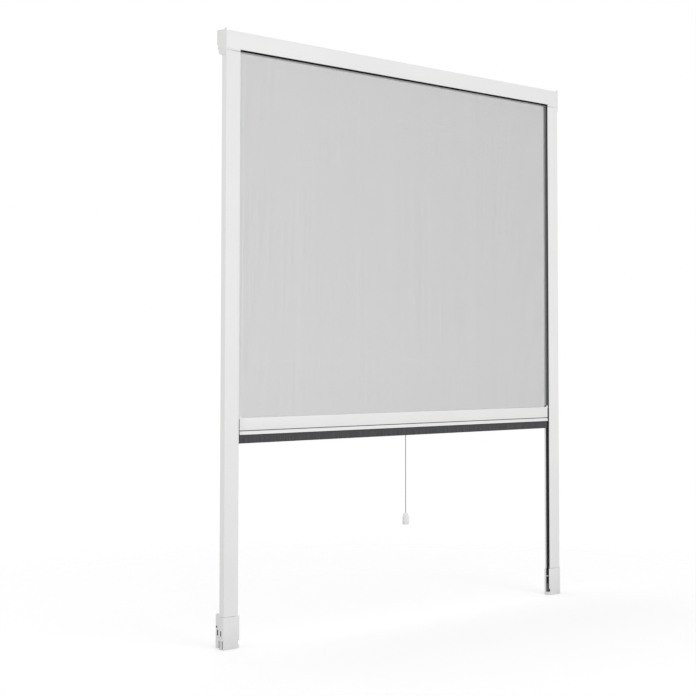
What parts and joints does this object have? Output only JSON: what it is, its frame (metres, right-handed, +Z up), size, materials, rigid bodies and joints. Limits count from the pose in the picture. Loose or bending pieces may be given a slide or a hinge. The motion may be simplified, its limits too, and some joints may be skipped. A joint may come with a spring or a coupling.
{
  "type": "roller insect screen",
  "caption": "Upright roller insect screen for a window: cassette on top, two guide rails, grey mesh pulled part way down by a slim bar with a brush and a cord.",
  "frame": {"origin": "middle of the foot: halfway between the two end caps, halfway through the depth, at the bottom of the bottom caps", "axes": "+Z up along the guide rails, +X to the right along the cassette, +Y from the front to the rear"},
  "size_m": [1.152, 0.035, 1.4032],
  "materials": {
    "white_painted_aluminium": "smooth satin powder coat",
    "white_plastic": "fine matt moulding",
    "grey_plastic": "plain moulding",
    "black_plastic": "plain moulding",
    "brush_pile": "dense upright pile",
    "grey_mesh": "coated thread, plain weave",
    "grey_cord": "fine braid",
    "bare_aluminium": "drawn, uncoated",
    "steel": "bright drawn wire and rod"
  },
  "bodies": {
    "frame": {"cassette_housing": "white_painted_aluminium", "cassette_brush": "brush_pile", "left_cassette_cap": "white_plastic", "right_cassette_cap": "white_plastic", "spring_rod": "steel", "spring_anchor": "grey_plastic", "torsion_spring": "steel", "left_guide_rail": "white_painted_aluminium", "right_guide_rail": "white_painted_aluminium", "left_front_rail_brush": "brush_pile", "right_front_rail_brush": "brush_pile", "left_rear_rail_brush": "brush_pile", "right_rear_rail_brush": "brush_pile", "left_bottom_cap": "white_plastic", "right_bottom_cap": "white_plastic", "left_catch_insert": "grey_plastic", "right_catch_insert": "grey_plastic", "left_channel_liner": "black_plastic", "right_channel_liner": "black_plastic", "left_clamp_block": "black_plastic", "right_clamp_block": "black_plastic", "left_lock_block": "black_plastic", "right_lock_block": "black_plastic", "screen_mesh": "grey_mesh"},
    "roller": {"winding_tube": "bare_aluminium", "mesh_roll": "grey_mesh", "idler_plug": "grey_plastic", "drive_bush": "grey_plastic"},
    "pull_bar": {"pull_bar_profile": "white_painted_aluminium", "pull_bar_brush": "brush_pile", "mesh_retaining_rod": "grey_plastic", "left_bar_end_piece": "white_plastic", "right_bar_end_piece": "white_plastic", "left_bar_runner": "black_plastic", "right_bar_runner": "black_plastic", "cord_eyelet": "white_plastic", "pull_cord": "grey_cord", "cord_knots": "grey_cord", "cord_pull": "white_plastic"}
  },
  "joints": [
    {"name": "bar_slide", "type": "slide", "parent": "frame", "child": "pull_bar", "axis": [0, 0, 1], "range_m": [-0.449, 0.83], "deforming": ["screen_mesh"]},
    {"name": "roller_turn", "type": "hinge", "parent": "frame", "child": "roller", "pos_m": [0, 0.00128, 1.379], "axis": [1, 0, 0], "continuous": true}
  ],
  "couplings": [
    {"joint": "roller_turn", "follows": "bar_slide", "rad_per_m": -96.773}
  ]
}
